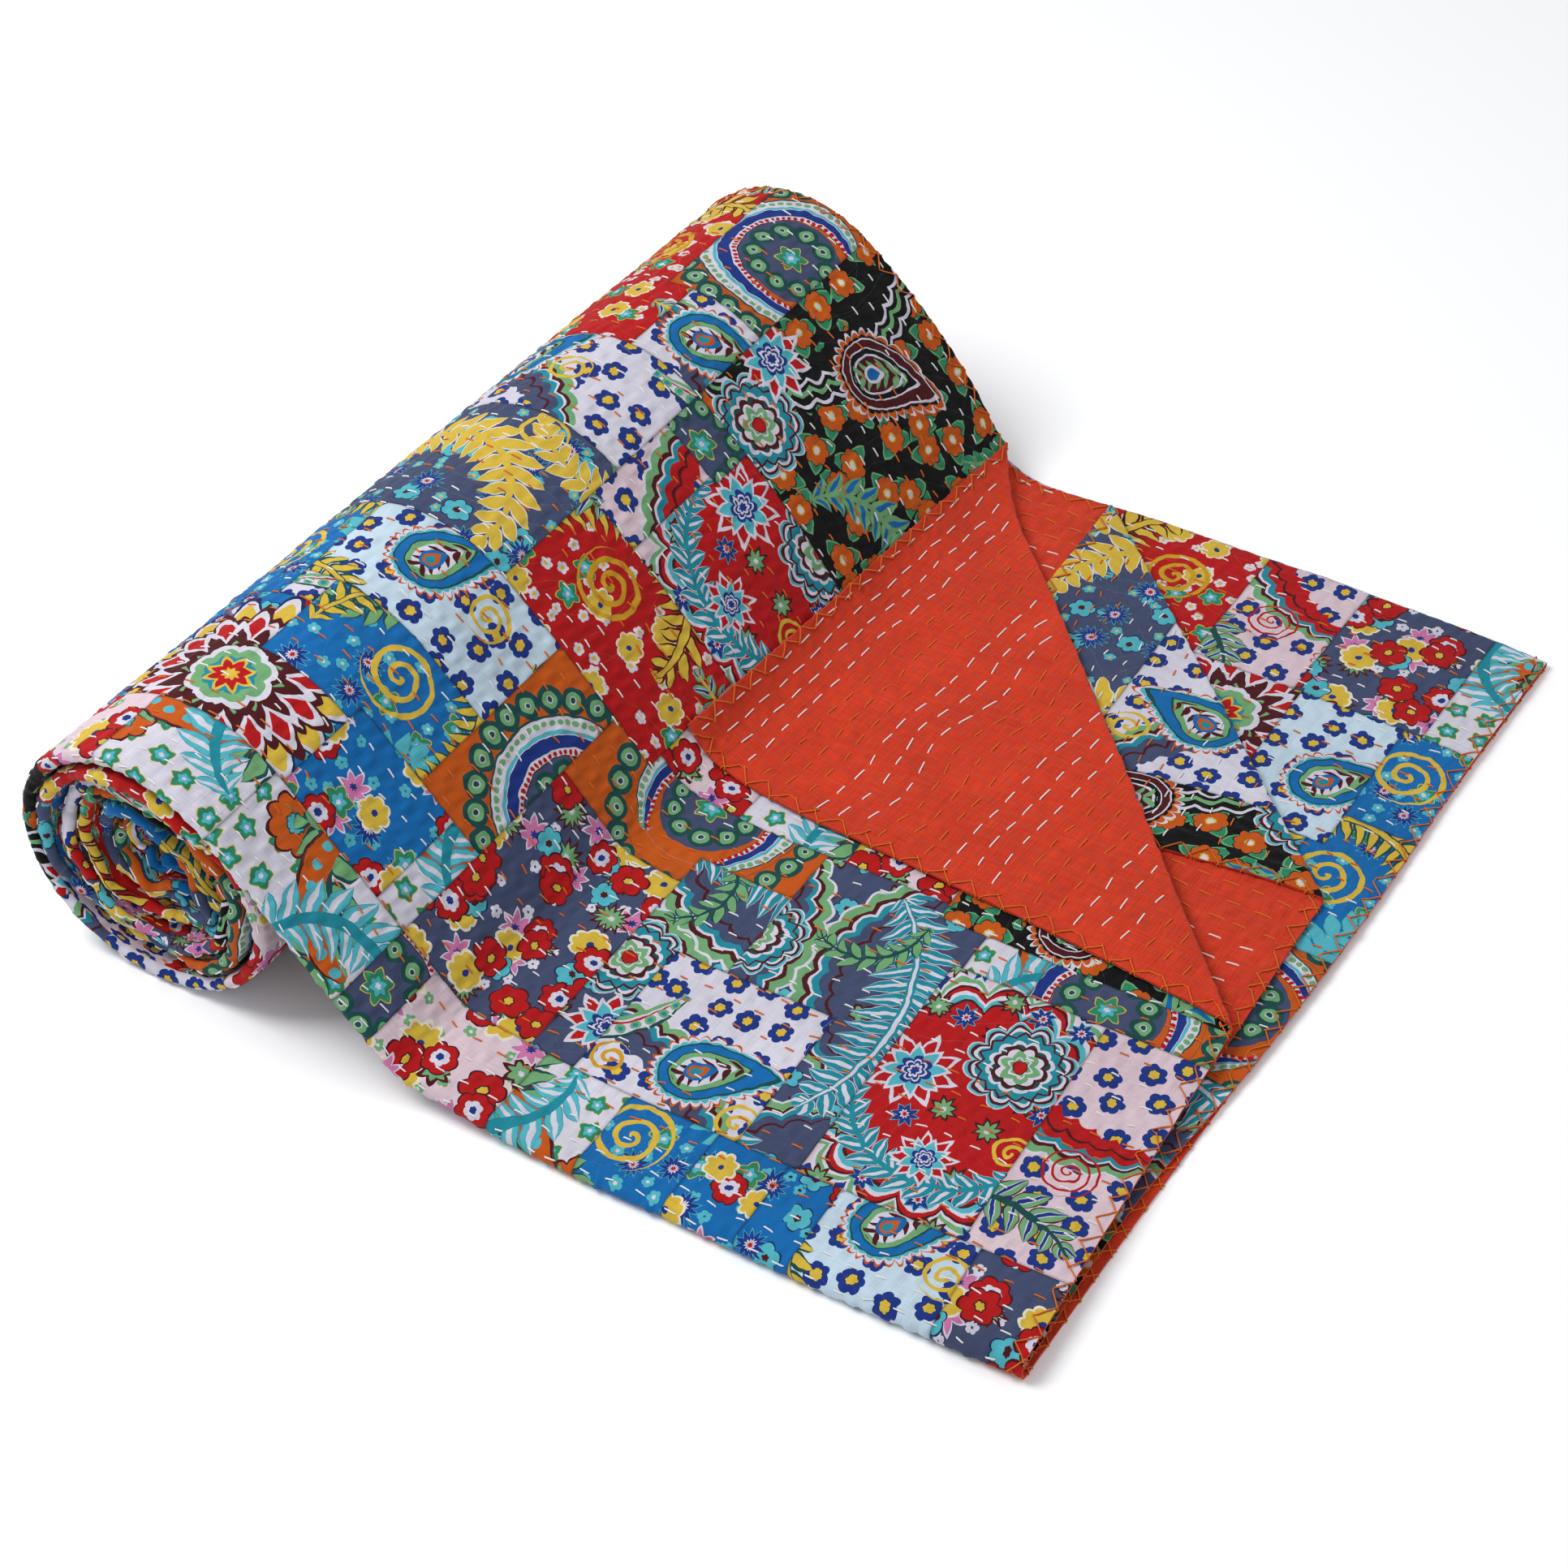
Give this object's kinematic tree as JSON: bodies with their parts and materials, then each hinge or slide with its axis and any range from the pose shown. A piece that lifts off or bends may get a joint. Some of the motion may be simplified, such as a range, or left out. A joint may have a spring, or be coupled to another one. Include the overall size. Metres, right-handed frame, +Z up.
{
  "type": "folded kantha quilt",
  "caption": "Thin stitched patchwork cotton quilt with a plain reverse, folded lengthwise and rolled up, its loose end spread with two corners turned back.",
  "frame": {"origin": "middle of the quilt's outline on the surface that it rests on", "axes": "+X runs along the folded strip from the roll to the loose end, +Y across the strip from its front folds to its back edges, +Z up"},
  "size_m": [0.5568, 0.578, 0.1405],
  "materials": {
    "printed_cotton": "thin quilted printed cotton, matt"
  },
  "bodies": {
    "root": {"quilt": "printed_cotton"}
  },
  "joints": []
}
